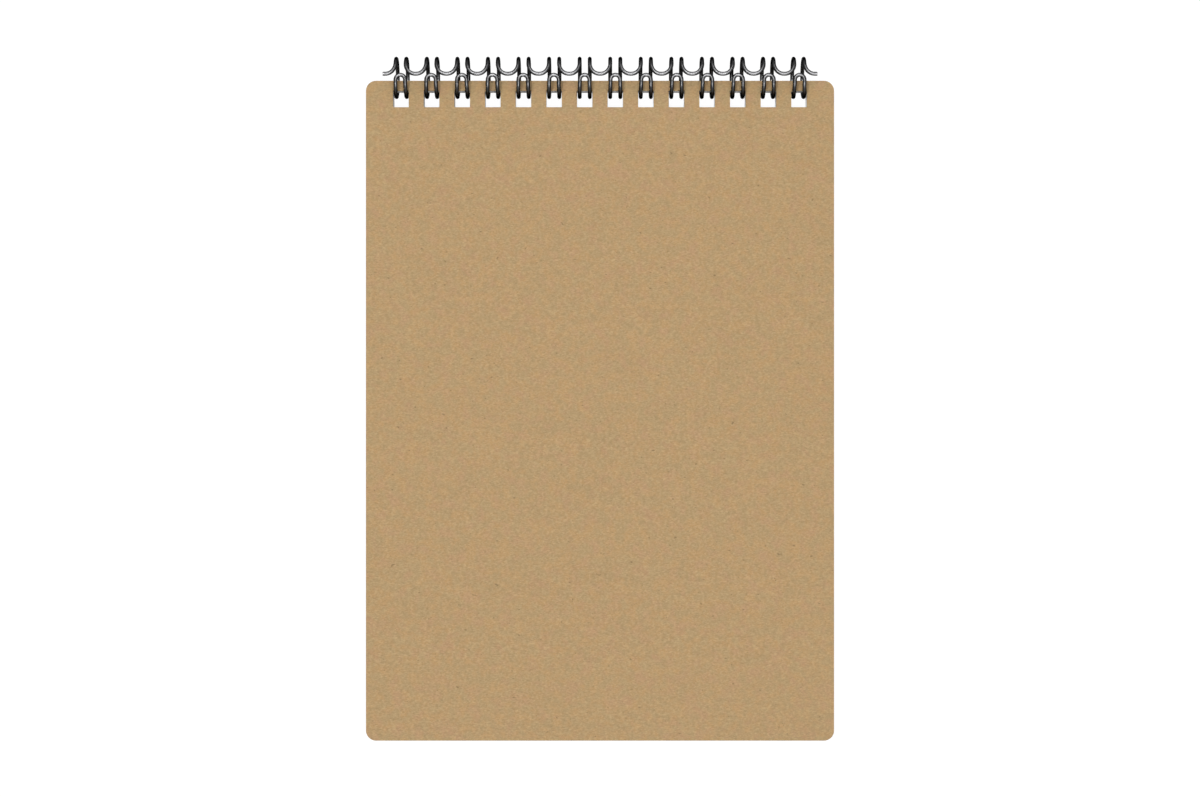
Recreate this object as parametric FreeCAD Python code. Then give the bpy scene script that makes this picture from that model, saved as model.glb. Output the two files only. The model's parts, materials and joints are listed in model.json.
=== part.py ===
import FreeCAD, Part
import math
import os

# A pocket notebook bound along its top edge with a twin-loop wire comb.
# It lies closed on its back cover, as on a table: X runs along the bound edge,
# +Y points from the open end towards the binding and Z is up from the table.
# All sizes are in millimetres.

# Holes, punched alike through both covers and all sheets
hole_pitch = 25.4 / 3       # three holes to the inch
hole_count = 14
hole_width = 4.3            # along the bound edge
hole_height = 4.6           # away from the bound edge
hole_margin = 2.7           # strip left between the bound edge and the holes

# Covers, two equal pieces of brown board
cover_width = 129.4
cover_height = 182.4
cover_thickness = 0.6
corner_radius = 2.8

# Sheets of writing paper, kept together as one block
sheet_count = 40
sheet_thickness = 0.1
sheet_inset = 0.5           # how far they stay behind the covers on the three open sides

# Binding wire
wire_diameter = 1.1
ring_room = 4.3             # height of the ring's inside beyond the closed stack
side_clearance = 0.2        # between the wire and the sides of a hole
edge_clearance = 0.2        # between the wire and the strip that it holds
tip_taper = 0.08            # how far each leg comes in below the closed tip of its loop
tip_angle = 93.0            # place of the closed tips, round the ring from the book's side
bend_angle = 96.0           # place of the bends that join one loop to the next
bend_reach = 38.0           # angle over which such a bend leaves its legs
taper_start = 34.0          # where the legs begin to come in towards the tip
taper_end = 78.0
stub_length = 0.6           # wire left past the middle of the first and the last bend

# Straight runs that stand for the wire's curves, and sides of its section
leg_runs = 14
taper_runs = 2
bend_runs = 3
wire_sides = 8

# Stack of covers and sheets, with its middle on the ring's centre
block_thickness = sheet_count * sheet_thickness
stack_thickness = block_thickness + 2 * cover_thickness
half_stack = stack_thickness / 2

# Ring, seen along X
wire_radius = wire_diameter / 2
ring_radius = (stack_thickness + ring_room + wire_diameter) / 2
inner_radius = ring_radius - wire_radius
outer_radius = ring_radius + wire_radius

# The strip between the holes and the bound edge lies inside the ring
hole_edge = math.sqrt(inner_radius ** 2 - half_stack ** 2) - edge_clearance
bound_edge = hole_edge - hole_margin
open_edge = bound_edge + cover_height

# Places along X
leg_offset = (hole_width - wire_diameter) / 2 - side_clearance
tip_offset = leg_offset - tip_taper
first_hole = -hole_pitch * (hole_count - 1) / 2

# Place round the ring where a bend meets its legs
bend_end = bend_angle + bend_reach

# The closed book rests on the ring and on the open edge of its back cover
reach = math.hypot(open_edge, half_stack)
tilt = math.asin(outer_radius / reach) - math.atan2(half_stack, open_edge)
low_end = open_edge * math.cos(tilt) - half_stack * math.sin(tilt)
high_end = open_edge * math.cos(tilt) + half_stack * math.sin(tilt)
overall_length = max(low_end, high_end) + outer_radius
ring_centre = FreeCAD.Vector(0, overall_length / 2 - outer_radius, outer_radius)


def rounded_outline(half_width, near, far, radius, z):
    """Closed outline of a board whose four corners are rounded."""
    edges = []
    corners = [(half_width, -near, 0), (-half_width, -near, 90),
               (-half_width, -far, 180), (half_width, -far, 270)]
    arcs = []
    for x, y, start in corners:
        centre_x = x - math.copysign(radius, x)
        centre_y = y - radius if start < 180 else y + radius
        centre = FreeCAD.Vector(centre_x, centre_y, z)
        arcs.append(Part.makeCircle(radius, centre, FreeCAD.Vector(0, 0, 1), start, start + 90))
    for arc, following in zip(arcs, arcs[1:] + arcs[:1]):
        edges.append(arc)
        edges.append(Part.makeLine(arc.Vertexes[-1].Point, following.Vertexes[0].Point))
    return Part.Wire(edges)


def hole_outline(centre_x, z):
    """Closed outline of one rectangular hole."""
    left = centre_x - hole_width / 2
    right = centre_x + hole_width / 2
    top = -hole_edge
    bottom = -hole_edge - hole_height
    points = [(left, bottom), (right, bottom), (right, top), (left, top), (left, bottom)]
    return Part.makePolygon([FreeCAD.Vector(x, y, z) for x, y in points])


def punched_board(half_width, far, z, thickness):
    """A flat piece with rounded corners and the row of holes along its bound edge."""
    face = Part.Face(rounded_outline(half_width, bound_edge, far, corner_radius, z))
    holes = [Part.Face(hole_outline(first_hole + index * hole_pitch, z))
             for index in range(hole_count)]
    return face.cut(Part.makeCompound(holes)).Faces[0].extrude(FreeCAD.Vector(0, 0, thickness))


def cover(z):
    return punched_board(cover_width / 2, open_edge, z, cover_thickness)


def page_block():
    return punched_board(cover_width / 2 - sheet_inset, open_edge - sheet_inset,
                         -block_thickness / 2, block_thickness)


def on_ring(angle, x):
    """Point of the wire's centre line; angles start at the book's side and go up and over."""
    turn = math.radians(angle)
    return FreeCAD.Vector(x, -ring_radius * math.cos(turn), ring_radius * math.sin(turn))


def leg(start, end, x):
    """Stations of one leg of a loop, which is straight until the comb is rolled into a ring."""
    return [(start + (end - start) * step / leg_runs, x) for step in range(1, leg_runs + 1)]


def taper(start, leg_x, end, tip_x):
    """The leg swings gently between its own line and the narrower line of the tip."""
    stations = []
    for step in range(1, taper_runs + 1):
        share = step / taper_runs
        swing = (1 - math.cos(math.pi * share)) / 2
        stations.append((start + (end - start) * share, leg_x + (tip_x - leg_x) * swing))
    return stations


def quarter_bend(leg_angle, leg_x, middle_angle, middle_x):
    """Quarter of an oval, from the end of a leg to the middle of a bend."""
    stations = []
    for step in range(bend_runs + 1):
        turn = math.pi / 2 * step / bend_runs
        angle = leg_angle + (middle_angle - leg_angle) * math.sin(turn)
        stations.append((angle, middle_x + (leg_x - middle_x) * math.cos(turn)))
    return stations


def bend(leg_angle, left_x, middle_angle, right_x):
    """Whole bend between two legs, or the closed tip of a loop."""
    middle_x = (left_x + right_x) / 2
    rising = quarter_bend(leg_angle, left_x, middle_angle, middle_x)
    falling = quarter_bend(leg_angle, right_x, middle_angle, middle_x)
    return rising[1:] + falling[-2::-1]


def loop(centre_x):
    """One loop, up through its hole to the closed tip and back down."""
    leg_end = 360 + taper_start
    tip_start = 360 + taper_end
    left = centre_x - leg_offset
    right = centre_x + leg_offset
    tip_left = centre_x - tip_offset
    tip_right = centre_x + tip_offset
    stations = leg(bend_end, leg_end, left)
    stations += taper(leg_end, left, tip_start, tip_left)
    stations += bend(tip_start, tip_left, 360 + tip_angle, tip_right)
    stations += taper(tip_start, tip_right, leg_end, right)
    stations += leg(leg_end, bend_end, right)
    return stations


def comb_stations():
    """Centre line of the whole comb, one unbroken wire from cut end to cut end."""
    half_gap = hole_pitch / 2
    last_hole = -first_hole
    stations = [(bend_angle, first_hole - half_gap - stub_length)]
    stations += quarter_bend(bend_end, first_hole - leg_offset,
                             bend_angle, first_hole - half_gap)[::-1]
    for index in range(hole_count):
        centre_x = first_hole + index * hole_pitch
        stations += loop(centre_x)
        if index < hole_count - 1:
            stations += bend(bend_end, centre_x + leg_offset, bend_angle,
                             centre_x + hole_pitch - leg_offset)
    stations += quarter_bend(bend_end, last_hole + leg_offset,
                             bend_angle, last_hole + half_gap)[1:]
    stations.append((bend_angle, last_hole + half_gap + stub_length))
    return stations


def slide_onto(point, direction, origin, normal):
    """Where a line through a point meets a plane."""
    return point + direction * ((origin - point).dot(normal) / direction.dot(normal))


def binding_wire():
    """The wire as short straight runs with mitred joints, so that all its faces are flat."""
    path = [on_ring(angle, x) for angle, x in comb_stations()]
    runs = [(path[index + 1] - path[index]).normalize() for index in range(len(path) - 1)]
    section = []
    for side in range(wire_sides):
        turn = 2 * math.pi * (side + 0.5) / wire_sides
        offset = FreeCAD.Vector(0, wire_radius * math.cos(turn), wire_radius * math.sin(turn))
        section.append(path[0] + offset)
    faces = [Part.Face(Part.makePolygon(section + section[:1]))]
    for index, run in enumerate(runs):
        following = runs[min(index + 1, len(runs) - 1)]
        normal = run + following
        end = [slide_onto(corner, run, path[index + 1], normal) for corner in section]
        for side in range(wire_sides):
            beside = (side + 1) % wire_sides
            outline = [section[side], section[beside], end[beside], end[side], section[side]]
            faces.append(Part.Face(Part.makePolygon(outline)))
        section = end
    faces.append(Part.Face(Part.makePolygon(section + section[:1])))
    shell = Part.makeShell(faces)
    shell.sewShape()
    solid = Part.Solid(shell)
    if solid.Volume < 0:
        solid.reverse()
    return solid


def placed(shape):
    """Tilt the book about the ring's axis and set it on the table."""
    seated = shape.copy()
    seated.rotate(FreeCAD.Vector(0, 0, 0), FreeCAD.Vector(1, 0, 0), math.degrees(tilt))
    seated.translate(ring_centre)
    return seated


def build():
    return {
        "front_cover": cover(half_stack - cover_thickness),
        "page_block": page_block(),
        "back_cover": cover(-half_stack),
        "binding_wire": binding_wire(),
    }


os.makedirs("parts", exist_ok=True)
for name, shape in build().items():
    node = placed(shape)
    node.exportStep("parts/" + name + ".step")
    box = node.BoundBox
    print(name, len(node.Solids), "solid", node.isValid(), "volume %.1f" % node.Volume,
          "low %.3f %.3f %.3f" % (box.XMin, box.YMin, box.ZMin),
          "high %.3f %.3f %.3f" % (box.XMax, box.YMax, box.ZMax))
print("ring centre y %.4f z %.4f, tilt %.4f degrees"
      % (ring_centre.y, ring_centre.z, math.degrees(tilt)))
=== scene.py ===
# %% [markdown]
# # A top-bound notebook with a twin-loop wire comb
#
# The notebook has four pieces: two covers of brown board, a block of forty loose sheets
# and one long black wire that is bent into a comb and rolled shut through the holes.
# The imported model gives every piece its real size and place. This lesson gives each one
# its finish, and models again, in finer form, what a flat-faced solid can't show.

# %% Load the frame
import json
import math
import random

import bpy
from mathutils import Matrix, Vector


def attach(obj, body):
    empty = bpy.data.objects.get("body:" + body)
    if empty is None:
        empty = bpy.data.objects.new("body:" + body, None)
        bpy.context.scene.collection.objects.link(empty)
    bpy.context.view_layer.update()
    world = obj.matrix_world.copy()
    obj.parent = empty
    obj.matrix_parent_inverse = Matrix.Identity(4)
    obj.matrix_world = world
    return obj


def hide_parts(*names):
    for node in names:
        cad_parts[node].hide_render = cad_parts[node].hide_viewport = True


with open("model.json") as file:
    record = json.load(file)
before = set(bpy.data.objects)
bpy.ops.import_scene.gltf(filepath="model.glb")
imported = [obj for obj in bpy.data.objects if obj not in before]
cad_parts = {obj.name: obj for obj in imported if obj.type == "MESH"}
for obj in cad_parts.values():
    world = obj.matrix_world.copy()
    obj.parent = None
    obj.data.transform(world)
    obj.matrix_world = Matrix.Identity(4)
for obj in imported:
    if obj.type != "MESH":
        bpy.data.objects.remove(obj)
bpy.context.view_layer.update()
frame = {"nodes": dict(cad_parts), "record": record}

# %% [markdown]
# The closed book doesn't lie quite level: the ring is thicker than the stack, so the bound
# edge is held up by the ring and the open edge touches the table. It is easier to model in
# the book's own frame, with the ring's centre at the origin and the covers level, and to
# lean each finished piece afterwards. The centre and the lean are read from the frame.

# %% The book's own frame
MM = 0.001
record = frame["record"]
hinge = next(j for j in record["behaviour"]["joints"] if j["name"] == "front_cover_hinge")
ring_centre = Vector(hinge["pos_m"])
underside = Vector(record["mounts"][0]["axis"])
tilt = math.atan2(underside.y, -underside.z)
book_to_world = Matrix.Translation(ring_centre) @ Matrix.Rotation(tilt, 4, "X")
print("ring centre", tuple(round(c, 5) for c in ring_centre),
      "lean", round(math.degrees(tilt), 3), "degrees")


def measured(node):
    """Corners of a node in the book's own frame, taken from its vertices."""
    to_book = book_to_world.inverted()
    points = [to_book @ v.co for v in frame["nodes"][node].data.vertices]
    low = Vector([min(p[i] for p in points) for i in range(3)])
    high = Vector([max(p[i] for p in points) for i in range(3)])
    return low, high


cover_low, cover_high = measured("front_cover")
back_low = measured("back_cover")[0]
block_low, block_high = measured("page_block")
print("cover", round((cover_high.x - cover_low.x) / MM, 2), "by",
      round((cover_high.y - cover_low.y) / MM, 2), "mm")

# %% [markdown]
# The punching is the same in every layer: fourteen nearly square holes, three to the inch,
# a little way in from the bound edge.

# %% Sizes that the pieces share
hole_count = 14
hole_pitch = 25.4 * MM / 3
hole_width = 4.3 * MM
hole_height = 4.6 * MM
hole_margin = 2.7 * MM
corner_radius = 2.8 * MM
hole_top = cover_high.y - hole_margin
hole_bottom = hole_top - hole_height
hole_centres = [(i - (hole_count - 1) / 2) * hole_pitch for i in range(hole_count)]


def deselect():
    """Leave edit mode and select nothing."""
    if bpy.context.object and bpy.context.object.mode != "OBJECT":
        bpy.ops.object.mode_set(mode="OBJECT")
    bpy.ops.object.select_all(action="DESELECT")


def pick(select_mode, test):
    """In edit mode, select just the elements of the active mesh that pass a test."""
    piece = bpy.context.object
    bpy.ops.mesh.select_mode(type=select_mode)
    bpy.ops.mesh.select_all(action="DESELECT")
    bpy.ops.object.mode_set(mode="OBJECT")
    mesh = piece.data
    elements = {"VERT": mesh.vertices, "EDGE": mesh.edges, "FACE": mesh.polygons}[select_mode]
    count = 0
    for element in elements:
        element.select = bool(test(element))
        count += element.select
    bpy.ops.object.mode_set(mode="EDIT")
    return count


def apply_modifiers(piece):
    bpy.context.view_layer.objects.active = piece
    for modifier in list(piece.modifiers):
        bpy.ops.object.modifier_apply(modifier=modifier.name)


def lean(piece):
    """Carry a finished piece from the book's own frame to its place, kept in its mesh."""
    deselect()
    piece.select_set(True)
    bpy.context.view_layer.objects.active = piece
    piece.matrix_world = book_to_world @ piece.matrix_world
    bpy.ops.object.transform_apply(location=True, rotation=True, scale=True)


# %% [markdown]
# ## A punched board
#
# A cover is a flat piece of board with rounded corners and a row of holes. It could
# be cut with booleans, but on a thin flat piece it is quicker to work in two dimensions.
# A plane gets its corners rounded, bisect draws the sides of the holes in a strip, and the
# faces inside the holes are deleted. Only then does Solidify give the board its thickness.
# The sheets of paper are punched the same way, so this is a function.

# %% Model a punched board
corner_segments = 10


def punched_plane(name, low, high, z):
    """A flat sheet with rounded corners and holes, between two corners of the outline."""
    deselect()
    middle_x = (low.x + high.x) / 2
    middle_y = (low.y + high.y) / 2
    bpy.ops.mesh.primitive_plane_add(size=1, location=(middle_x, middle_y, z))
    piece = bpy.context.object
    piece.name = piece.data.name = name
    piece.scale = (high.x - low.x, high.y - low.y, 1)
    bpy.ops.object.transform_apply(location=True, rotation=True, scale=True)
    bpy.ops.object.mode_set(mode="EDIT")
    bpy.ops.mesh.select_all(action="SELECT")
    bpy.ops.mesh.bevel(affect="VERTICES", offset=corner_radius, segments=corner_segments)
    for y in (hole_top, hole_bottom):
        bpy.ops.mesh.select_all(action="SELECT")
        bpy.ops.mesh.bisect(plane_co=(0, y, z), plane_no=(0, 1, 0))
    mesh = piece.data
    for centre in hole_centres:
        for x in (centre - hole_width / 2, centre + hole_width / 2):
            pick("FACE", lambda f: hole_bottom < f.center.y < hole_top)
            bpy.ops.mesh.bisect(plane_co=(x, 0, z), plane_no=(1, 0, 0))
    inside = pick("FACE", lambda f: hole_bottom < f.center.y < hole_top
                  and min(abs(f.center.x - c) for c in hole_centres) < hole_width / 4)
    bpy.ops.mesh.delete(type="FACE")
    bpy.ops.object.mode_set(mode="OBJECT")
    print(name, "has", inside, "holes and", len(mesh.polygons), "flat faces")
    return piece


def thicken(piece, thickness, edge_radius=0.0):
    """Give a flat piece its thickness upwards, and break its sharp edges if asked."""
    solid = piece.modifiers.new("thickness", "SOLIDIFY")
    solid.thickness = thickness
    solid.offset = 1
    if edge_radius:
        soft = piece.modifiers.new("broken edges", "BEVEL")
        soft.width = edge_radius
        soft.segments = 2
        soft.limit_method = "ANGLE"
        soft.angle_limit = math.radians(60)
    apply_modifiers(piece)


# %% [markdown]
# Board is cut with a blade, which leaves its rims nearly sharp. A rounding of less than a
# tenth of a millimetre is enough to catch the light. The back cover is a copy of the front
# one, with a mesh of its own.

# %% Make both covers
board_thickness = cover_high.z - cover_low.z
board_rounding = 0.07 * MM
front_board = punched_plane("front_board", cover_low, cover_high, 0)
thicken(front_board, board_thickness, board_rounding)
back_board = front_board.copy()
back_board.data = front_board.data.copy()
back_board.name = back_board.data.name = "back_board"
bpy.context.collection.objects.link(back_board)
front_board.location.z = cover_low.z
back_board.location.z = back_low.z
lean(front_board)
lean(back_board)
print("front cover", len(front_board.data.polygons), "faces")

# %% [markdown]
# ## The sheets
#
# The block is forty loose sheets. Seen from the side, the sheets are what tells paper from a
# solid slab, so each is modelled by itself, with a hair of air above it. One sheet is
# punched and copied. Each copy slips by a hair to the side or along, which is what gives
# the edge of a real block its fine uneven lines.

# %% Make the stack of sheets
sheet_count = 40
sheet_pitch = (block_high.z - block_low.z) / sheet_count
sheet_share = 0.88          # how much of the pitch is paper; the rest is air
side_slip = 0.05 * MM
length_slip = 0.05 * MM
dice = random.Random(7)
first_sheet = punched_plane("paper_sheets", block_low, block_high, 0)
thicken(first_sheet, sheet_share * sheet_pitch)
sheets = [first_sheet]
for number in range(1, sheet_count):
    copy = first_sheet.copy()
    copy.data = first_sheet.data.copy()
    bpy.context.collection.objects.link(copy)
    copy.location = (dice.uniform(-side_slip, side_slip), dice.uniform(-length_slip, length_slip),
                     block_low.z + number * sheet_pitch)
    sheets.append(copy)
first_sheet.location.z = block_low.z
deselect()
for sheet in sheets:
    sheet.select_set(True)
bpy.context.view_layer.objects.active = first_sheet
bpy.ops.object.join()
paper_sheets = bpy.context.object
bpy.ops.object.transform_apply(location=True, rotation=True, scale=True)
lean(paper_sheets)
print("sheets", sheet_count, "faces", len(paper_sheets.data.polygons))

# %% [markdown]
# ## The wire comb
#
# A comb of this kind is one wire. A machine bends it flat, into a row of long narrow
# fingers, and the fingers are then rolled round into a ring. The lesson does the same.
# A circle is extruded from station to station along half a finger and back, one finger is
# repeated with an Array, and the flat comb is rolled up by a formula. A curve with a bevel
# would also make the tube, but the flat comb shows how the real thing is made.

# %% Sizes of the comb
wire_radius = 0.55 * MM
ring_radius = 5.3 * MM
leg_x = 1.4 * MM                    # from the middle of a finger to its leg
tip_x = 1.32 * MM                   # the same, just below the closed tip
bend_angle = math.radians(96)       # angles go round the ring from the book's side
bend_end = math.radians(134)
taper_start = math.radians(394)
taper_end = math.radians(438)
tip_angle = math.radians(453)
stub_length = 0.6 * MM
bend_fullness = 1.15                # above 1 the bends are squarer than an ellipse
section_sides = 16
leg_steps = 40
taper_steps = 6
bend_steps = 12


def oval_quarter(from_angle, from_x, to_angle, to_x, steps, fullness):
    """Stations from the end of a leg to the middle of a bend; fullness 1 is an ellipse."""
    found = []
    for step in range(steps + 1):
        turn = math.pi / 2 * step / steps
        along = math.sin(turn) ** (1 / fullness)
        across = math.cos(turn) ** (1 / fullness) if step < steps else 0
        angle = from_angle + (to_angle - from_angle) * along
        found.append((to_x + (from_x - to_x) * across, ring_radius * angle))
    return found


def half_finger():
    """Stations (across, along) from the middle of a bend to the middle of a closed tip."""
    found = oval_quarter(bend_end, -leg_x, bend_angle, -hole_pitch / 2,
                         bend_steps, bend_fullness)[::-1]
    for step in range(1, leg_steps + 1):
        angle = bend_end + (taper_start - bend_end) * step / leg_steps
        found.append((-leg_x, ring_radius * angle))
    for step in range(1, taper_steps + 1):
        share = step / taper_steps
        swing = (1 - math.cos(math.pi * share)) / 2
        angle = taper_start + (taper_end - taper_start) * share
        found.append((-leg_x + (leg_x - tip_x) * swing, ring_radius * angle))
    found += oval_quarter(taper_end, -tip_x, tip_angle, 0, bend_steps, 1.0)[1:]
    return found


# %% [markdown]
# The section has to stay square to the wire. Each extrusion moves it to the next station
# and turns it by the change of direction. Without a window Blender turns the other way, so
# the turn is given as its negative, about the station itself.

# %% Extrude one finger of the flat comb
def extrude_along(stations):
    """A tube through the stations, square to x at both ends."""
    deselect()
    bpy.ops.mesh.primitive_circle_add(vertices=section_sides, radius=wire_radius,
                                      location=(*stations[0], 0), rotation=(0, math.pi / 2, 0))
    piece = bpy.context.object
    bpy.ops.object.transform_apply(location=True, rotation=True, scale=True)
    bpy.ops.object.mode_set(mode="EDIT")
    bpy.ops.mesh.select_mode(type="VERT")
    bpy.ops.mesh.select_all(action="SELECT")
    headings = []
    for index in range(len(stations)):
        before = stations[max(index - 1, 0)]
        after = stations[min(index + 1, len(stations) - 1)]
        headings.append(math.atan2(after[1] - before[1], after[0] - before[0]))
    headings[0] = 0.0
    headings[-1] = 0.0
    for index in range(1, len(stations)):
        x, s = stations[index]
        step = (x - stations[index - 1][0], s - stations[index - 1][1], 0)
        bpy.ops.mesh.extrude_region_move(TRANSFORM_OT_translate={"value": step})
        turn = headings[index] - headings[index - 1]
        bpy.ops.transform.rotate(value=-turn, orient_axis="Z", center_override=(x, s, 0))
    bpy.ops.object.mode_set(mode="OBJECT")
    return piece


left_half = half_finger()
right_half = [(-x, s) for x, s in left_half[-2::-1]]
wire = extrude_along(left_half + right_half)
wire.name = wire.data.name = "twin_loop_wire"

# %% [markdown]
# Fourteen fingers in a row share their bends, so the Array merges the rings of vertices
# where they meet. The two cut ends get a short stub and a flat cap.

# %% Repeat the finger and close the ends
hair = 0.001 * MM
row = wire.modifiers.new("fingers", "ARRAY")
row.count = hole_count
row.use_relative_offset = False
row.use_constant_offset = True
row.constant_offset_displace = (hole_pitch, 0, 0)
row.use_merge_vertices = True
row.merge_threshold = 2 * hair
apply_modifiers(wire)
wire.location.x = hole_centres[0]
bpy.ops.object.select_all(action="DESELECT")
wire.select_set(True)
bpy.ops.object.transform_apply(location=True, rotation=False, scale=False)
end_x = hole_centres[-1] + hole_pitch / 2
bpy.ops.object.mode_set(mode="EDIT")
for side in (-1, 1):
    pick("VERT", lambda v: abs(v.co.x - side * end_x) < hair)
    stub = (side * stub_length, 0, 0)
    bpy.ops.mesh.extrude_region_move(TRANSFORM_OT_translate={"value": stub})
    bpy.ops.mesh.edge_face_add()
bpy.ops.object.mode_set(mode="OBJECT")
print("flat comb", len(wire.data.vertices), "vertices")

# %% [markdown]
# Rolling up the comb turns the distance along a finger into an angle round the ring, and the
# height above the flat comb into a little more radius. The bend of Simple Deform does the
# same, but it takes its scale from the bounding box, and here the radius has to be exact.
# Rolling may turn the tube inside out, so the faces are made to point outwards afterwards.

# %% Roll the comb into a ring
for vertex in wire.data.vertices:
    x, s, height = vertex.co
    angle = s / ring_radius
    radius = ring_radius + height
    vertex.co = (x, -radius * math.cos(angle), radius * math.sin(angle))
deselect()
wire.select_set(True)
bpy.context.view_layer.objects.active = wire
bpy.ops.object.mode_set(mode="EDIT")
bpy.ops.mesh.select_all(action="SELECT")
bpy.ops.mesh.normals_make_consistent(inside=False)
bpy.ops.object.mode_set(mode="OBJECT")
bpy.ops.object.shade_smooth_by_angle(angle=math.radians(40))
lean(wire)

# %% [markdown]
# ## Finishes
#
# All patterns read Object coordinates. Every finished piece sits unturned at the origin, so
# a scale of 400 means about 400 blotches to the metre, whatever the piece. A few helpers
# keep the materials readable.

# %% Helpers for materials
def new_material(name):
    """A material with its node tree and its shader."""
    material = bpy.data.materials.new(name)
    material.use_nodes = True
    return material, material.node_tree, material.node_tree.nodes["Principled BSDF"]


def noise(tree, scale, detail=2.0, roughness=0.5, stretch=(1, 1, 1), turn=0.0):
    """Soft blotches; stretch below 1 along an axis draws them out along it."""
    coordinates = tree.nodes.new("ShaderNodeTexCoord")
    mapping = tree.nodes.new("ShaderNodeMapping")
    mapping.inputs["Scale"].default_value = stretch
    mapping.inputs["Rotation"].default_value = (0, 0, turn)
    texture = tree.nodes.new("ShaderNodeTexNoise")
    texture.inputs["Scale"].default_value = scale
    texture.inputs["Detail"].default_value = detail
    texture.inputs["Roughness"].default_value = roughness
    tree.links.new(coordinates.outputs["Object"], mapping.inputs["Vector"])
    tree.links.new(mapping.outputs["Vector"], texture.inputs["Vector"])
    return texture.outputs["Fac"]


def spread(tree, value, low, high, to_low=0.0, to_high=1.0):
    """Stretch the part of a pattern between low and high to a wider range."""
    node = tree.nodes.new("ShaderNodeMapRange")
    node.inputs["From Min"].default_value = low
    node.inputs["From Max"].default_value = high
    node.inputs["To Min"].default_value = to_low
    node.inputs["To Max"].default_value = to_high
    tree.links.new(value, node.inputs["Value"])
    return node.outputs["Result"]


def blend_colours(tree, factor, first, second):
    """From the first colour to the second; each is a tuple or another node's colour."""
    node = tree.nodes.new("ShaderNodeMix")
    node.data_type = "RGBA"
    tree.links.new(factor, node.inputs[0])
    for socket, colour in ((node.inputs[6], first), (node.inputs[7], second)):
        if isinstance(colour, tuple):
            socket.default_value = (*colour, 1)
        else:
            tree.links.new(colour, socket)
    return node.outputs[2]


def add_bump(tree, shader, height, distance, strength, below=None):
    """Relief of a given depth in metres, on top of the relief below."""
    node = tree.nodes.new("ShaderNodeBump")
    node.inputs["Distance"].default_value = distance
    node.inputs["Strength"].default_value = strength
    tree.links.new(height, node.inputs["Height"])
    if below is not None:
        tree.links.new(below, node.inputs["Normal"])
    tree.links.new(node.outputs["Normal"], shader.inputs["Normal"])
    return node.outputs["Normal"]


# %% [markdown]
# Brown kraft board is unbleached pulp. From a step away it is one warm tan, and close up it
# is a felt of fibres: soft yellowish and pinkish clouds a few millimetres wide, a fine
# grain, fibres that cross at two angles, and a few dark flecks of bark.

# %% Kraft board
def kraft_board(name, tone=1.0):
    material, tree, shader = new_material(name)

    def pulp(red, green, blue):
        return red * tone, green * tone, blue * tone

    olive = pulp(0.450, 0.313, 0.154)
    orange = pulp(0.507, 0.318, 0.145)
    pink = pulp(0.502, 0.304, 0.162)
    dark = pulp(0.336, 0.223, 0.111)
    pale = pulp(0.623, 0.449, 0.244)
    fleck = pulp(0.263, 0.175, 0.089)
    clouds = spread(tree, noise(tree, 380, detail=2), 0.40, 0.66)
    colour = blend_colours(tree, clouds, olive, orange)
    blush = spread(tree, noise(tree, 290, detail=3, turn=0.8), 0.50, 0.70, 0, 0.85)
    colour = blend_colours(tree, blush, colour, pink)
    drift = noise(tree, 120, detail=2, turn=0.3)
    colour = blend_colours(tree, spread(tree, drift, 0.50, 0.75, 0, 0.10), colour, dark)
    grain = noise(tree, 1300, detail=3, roughness=0.7)
    colour = blend_colours(tree, spread(tree, grain, 0.50, 0.80, 0, 0.48), colour, dark)
    colour = blend_colours(tree, spread(tree, grain, 0.50, 0.22, 0, 0.46), colour, pale)
    fibres = noise(tree, 2900, detail=2, stretch=(0.45, 1, 1), turn=0.6)
    colour = blend_colours(tree, spread(tree, fibres, 0.50, 0.74, 0, 0.55), colour, dark)
    crossing = noise(tree, 3100, detail=2, stretch=(0.45, 1, 1), turn=-0.9)
    colour = blend_colours(tree, spread(tree, crossing, 0.50, 0.26, 0, 0.50), colour, pale)
    specks = noise(tree, 1100, detail=1, stretch=(0.7, 1, 1), turn=0.5)
    colour = blend_colours(tree, spread(tree, specks, 0.73, 0.79, 0, 0.8), colour, fleck)
    tree.links.new(colour, shader.inputs["Base Color"])
    shader.inputs["Roughness"].default_value = 0.82
    shader.inputs["Specular IOR Level"].default_value = 0.08
    below = add_bump(tree, shader, grain, 0.00004, 0.5)
    add_bump(tree, shader, fibres, 0.00003, 0.5, below)
    return material


# %% [markdown]
# Where the board is cut, the blade shows its layers: thin darker lines that run round the
# rim. The faces of the rim get this second finish.

# %% Cut edge of the board
def cut_board(name):
    material = kraft_board(name, tone=0.80)
    tree = material.node_tree
    shader = tree.nodes["Principled BSDF"]
    layers = noise(tree, 9000, detail=1, stretch=(0.03, 0.03, 1))
    base = shader.inputs["Base Color"].links[0].from_socket
    seam = (0.25, 0.16, 0.08)
    colour = blend_colours(tree, spread(tree, layers, 0.45, 0.70, 0, 0.5), base, seam)
    tree.links.new(colour, shader.inputs["Base Color"])
    return material


# %% [markdown]
# The paper is plain white writing paper: hardly any colour, a faint cloudiness and a very
# fine tooth. The wire has a smooth black coat with only a slight unevenness that makes its
# highlights waver. Plain glossy black would mirror the white table strongly at its sides,
# where it is seen at a glance, but the real wire stays black there. A very dark metal whose
# specular tint is black does the same: it mirrors a little head on, and nothing at a glance.

# %% Paper and enamel
def writing_paper(name):
    material, tree, shader = new_material(name)
    clouds = spread(tree, noise(tree, 420, detail=4, roughness=0.6), 0.35, 0.65)
    colour = blend_colours(tree, clouds, (0.812, 0.804, 0.783), (0.834, 0.828, 0.809))
    tree.links.new(colour, shader.inputs["Base Color"])
    shader.inputs["Roughness"].default_value = 0.9
    shader.inputs["Specular IOR Level"].default_value = 0.2
    add_bump(tree, shader, noise(tree, 5000, detail=2), 0.00001, 0.5)
    return material


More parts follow.
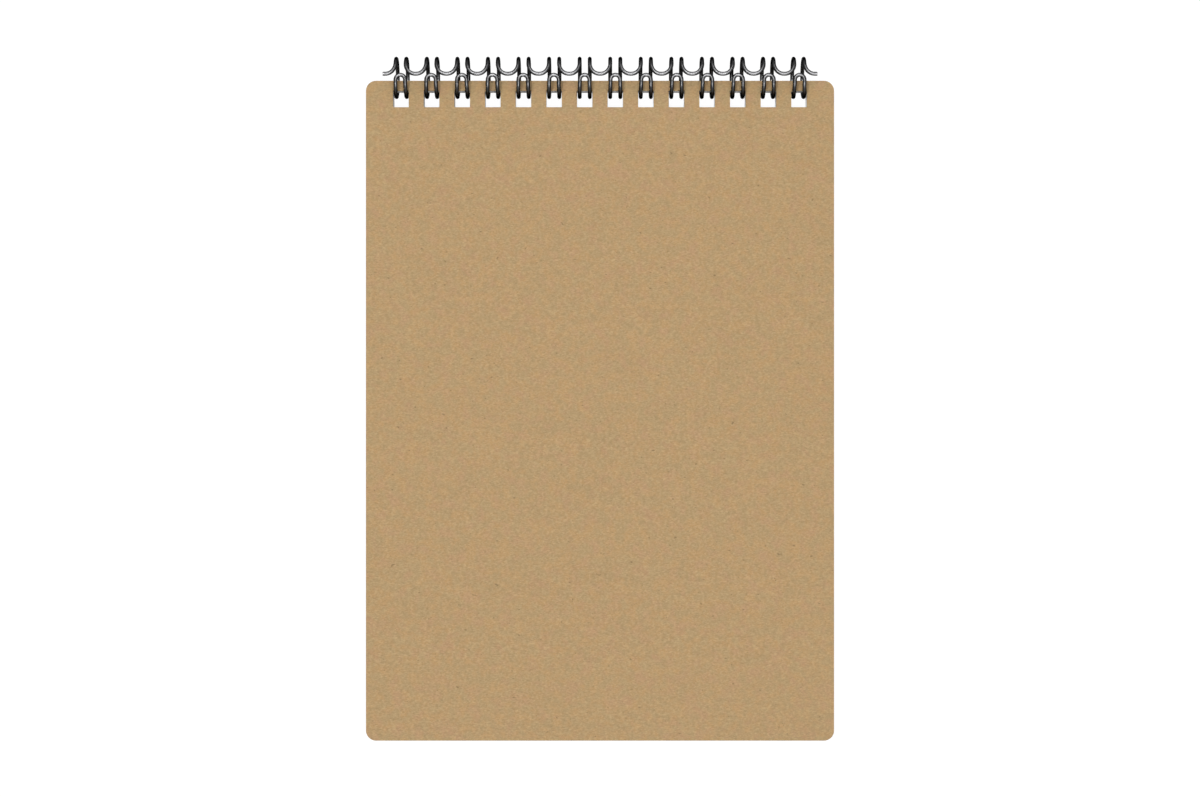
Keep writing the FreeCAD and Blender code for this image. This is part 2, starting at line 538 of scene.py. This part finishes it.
def black_enamel(name):
    material, tree, shader = new_material(name)
    haze = spread(tree, noise(tree, 700, detail=2), 0.35, 0.70)
    colour = blend_colours(tree, haze, (0.036, 0.036, 0.037), (0.046, 0.046, 0.047))
    tree.links.new(colour, shader.inputs["Base Color"])
    shader.inputs["Metallic"].default_value = 1.0
    shader.inputs["Specular Tint"].default_value = (0, 0, 0, 1)
    gloss = spread(tree, noise(tree, 1300, detail=2), 0.3, 0.7, 0.20, 0.30)
    tree.links.new(gloss, shader.inputs["Roughness"])
    add_bump(tree, shader, noise(tree, 900, detail=1), 0.00003, 0.35)
    return material


# %% [markdown]
# The flat sides of a cover get the board's finish and its rim the cut one. A face belongs
# to the flat sides when it looks mostly up or down.

# %% Dress the pieces
board = kraft_board("kraft_board")
board_rim = cut_board("kraft_board_rim")
up = Matrix.Rotation(tilt, 3, "X") @ Vector((0, 0, 1))
flat_enough = 0.6
for piece in (front_board, back_board):
    piece.data.materials.append(board)
    piece.data.materials.append(board_rim)
    for face in piece.data.polygons:
        face.material_index = 0 if abs(face.normal.dot(up)) > flat_enough else 1
paper_sheets.data.materials.append(writing_paper("writing_paper"))
wire.data.materials.append(black_enamel("black_enamel"))

# %% [markdown]
# ## Riding on the frame
#
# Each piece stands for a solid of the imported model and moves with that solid's body.

# %% Tie the pieces to the bodies
for piece, node, body, slot in (
        (front_board, "front_cover", "front", "cover_board"),
        (back_board, "back_cover", "back", "cover_board"),
        (paper_sheets, "page_block", "pages", "sheets"),
        (wire, "binding_wire", "comb", "wire_enamel")):
    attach(piece, body)
    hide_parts(node)
    print(piece.name, "rides on", body)

# %% [markdown]
# ## Table, light and camera
#
# The background is pure white. Making the floor that bright with lamps would bleach the
# board, so to the camera, and in reflections, the floor has a white of its own. A small part
# of it still answers to the light, but the sum lies above white nearly everywhere, so only
# a trace of the shadow shows. Light that bounces about meets a plain grey floor. The floor
# lies a tenth of a millimetre below the book, so that nothing of the wire falls together
# with it. The same test of the ray serves the world.

# %% Rays that see the background
def sees_background(tree):
    """One for rays from the camera, or mirrored or passed on to it, and none for the rest."""
    path = tree.nodes.new("ShaderNodeLightPath")
    factor = path.outputs["Is Camera Ray"]
    for kind in ("Is Glossy Ray", "Is Transmission Ray"):
        either = tree.nodes.new("ShaderNodeMath")
        either.operation = "MAXIMUM"
        tree.links.new(factor, either.inputs[0])
        tree.links.new(path.outputs[kind], either.inputs[1])
        factor = either.outputs[0]
    return factor


# %% White floor
floor_glow = 0.985
floor_reply = 0.08
floor_grey = 0.50
floor_size = 6
floor_drop = 0.1 * MM
deselect()
bpy.ops.mesh.primitive_plane_add(size=floor_size, location=(0, 0, -floor_drop))
floor = bpy.context.object
floor.name = "table_top"
floor_material = bpy.data.materials.new("white_table")
floor_material.use_nodes = True
tree = floor_material.node_tree
tree.nodes.clear()
output = tree.nodes.new("ShaderNodeOutputMaterial")
plain = tree.nodes.new("ShaderNodeBsdfDiffuse")
plain.inputs["Color"].default_value = (floor_grey, floor_grey, floor_grey, 1)
glow = tree.nodes.new("ShaderNodeEmission")
glow.inputs["Color"].default_value = (1, 1, 1, 1)
glow.inputs["Strength"].default_value = floor_glow
reply = tree.nodes.new("ShaderNodeBsdfDiffuse")
reply.inputs["Color"].default_value = (floor_reply, floor_reply, floor_reply, 1)
shown = tree.nodes.new("ShaderNodeAddShader")
either = tree.nodes.new("ShaderNodeMixShader")
tree.links.new(glow.outputs[0], shown.inputs[0])
tree.links.new(reply.outputs[0], shown.inputs[1])
tree.links.new(sees_background(tree), either.inputs[0])
tree.links.new(plain.outputs[0], either.inputs[1])
tree.links.new(shown.outputs[0], either.inputs[2])
tree.links.new(either.outputs[0], output.inputs["Surface"])
floor.data.materials.append(floor_material)

# %% [markdown]
# The world is a soft even fill, and shows as white like the floor, so that low views have
# no horizon.

# %% World
fill_strength = 0.56
world = bpy.data.worlds.new("studio")
bpy.context.scene.world = world
world.use_nodes = True
tree = world.node_tree
background = tree.nodes["Background"]
background.inputs["Color"].default_value = (1, 1, 1, 1)
level = tree.nodes.new("ShaderNodeMapRange")
level.inputs["To Min"].default_value = fill_strength
level.inputs["To Max"].default_value = 1.0
tree.links.new(sees_background(tree), level.inputs["Value"])
tree.links.new(level.outputs["Result"], background.inputs["Strength"])

# %% [markdown]
# A key lamp high on the left lets each loop cast a soft shadow to the right, and a weaker
# lamp on the other side evens out the light over the cover.

# %% Key and fill
def soft_lamp(name, place, target, width, height, watts):
    """A rectangular lamp at a place, facing a target; the camera doesn't see it."""
    lamp = bpy.data.lights.new(name, "AREA")
    lamp.shape = "RECTANGLE"
    lamp.size = width
    lamp.size_y = height
    lamp.energy = watts
    holder = bpy.data.objects.new(name, lamp)
    bpy.context.collection.objects.link(holder)
    holder.location = place
    direction = Vector(target) - Vector(place)
    holder.rotation_euler = direction.to_track_quat("-Z", "Y").to_euler()
    holder.visible_camera = False
    return holder


book_middle = (0, 0, 0)
soft_lamp("key_lamp", (-0.30, 0.30, 1.15), book_middle, 0.26, 0.26, 4.6)
soft_lamp("fill_lamp", (0.34, -0.38, 1.10), book_middle, 0.60, 0.60, 2.2)

# %% [markdown]
# A black wire looks glossy by what it mirrors. Its legs run round the ring, so one panel
# would only make a short glint. Five panels stand in an arch over the bound edge, from the
# side of the open end to behind the ring, and give each leg a bright streak along its
# middle. The one just behind the top is the brightest, which gives each U bend a narrow
# highlight. They are hidden from diffuse rays, so they hardly light the board.

# %% Panels for the highlights
arch_radius = 1.0
panel_width = 0.48
gloss_panels = (            # degrees behind the top of the ring, height in metres, watts
    (-42, 0.36, 10),
    (-14, 0.30, 8),
    (12, 0.22, 12.5),
    (36, 0.30, 7),
    (60, 0.30, 3))
for degrees, height, watts in gloss_panels:
    turn = math.radians(degrees)
    place = (0, ring_centre.y + arch_radius * math.sin(turn), arch_radius * math.cos(turn))
    panel = soft_lamp(f"gloss_panel_{degrees}", place, ring_centre, panel_width, height, watts)
    panel.visible_diffuse = False

# %% [markdown]
# The photograph looks straight down on the cover, from about 800 mm. The camera is placed
# in the book's own frame, so it leans with the cover. The view is centred on the width
# of the cover and a little above the middle of its length.

# %% Camera
image_width = 1200
pixels_per_mm = 3.618
camera_distance = 800 * MM
view_centre_y = -88.9 * MM
focal_pixels = pixels_per_mm * camera_distance / MM
camera_data = bpy.data.cameras.new("camera")
camera_data.sensor_fit = "HORIZONTAL"
camera_data.sensor_width = 36
camera_data.lens = camera_data.sensor_width * focal_pixels / image_width
camera = bpy.data.objects.new("camera", camera_data)
bpy.context.collection.objects.link(camera)
camera.matrix_world = book_to_world @ Matrix.Translation(
    (0, view_centre_y, cover_high.z + camera_distance))
bpy.context.scene.camera = camera
bpy.context.scene.view_settings.view_transform = "Standard"
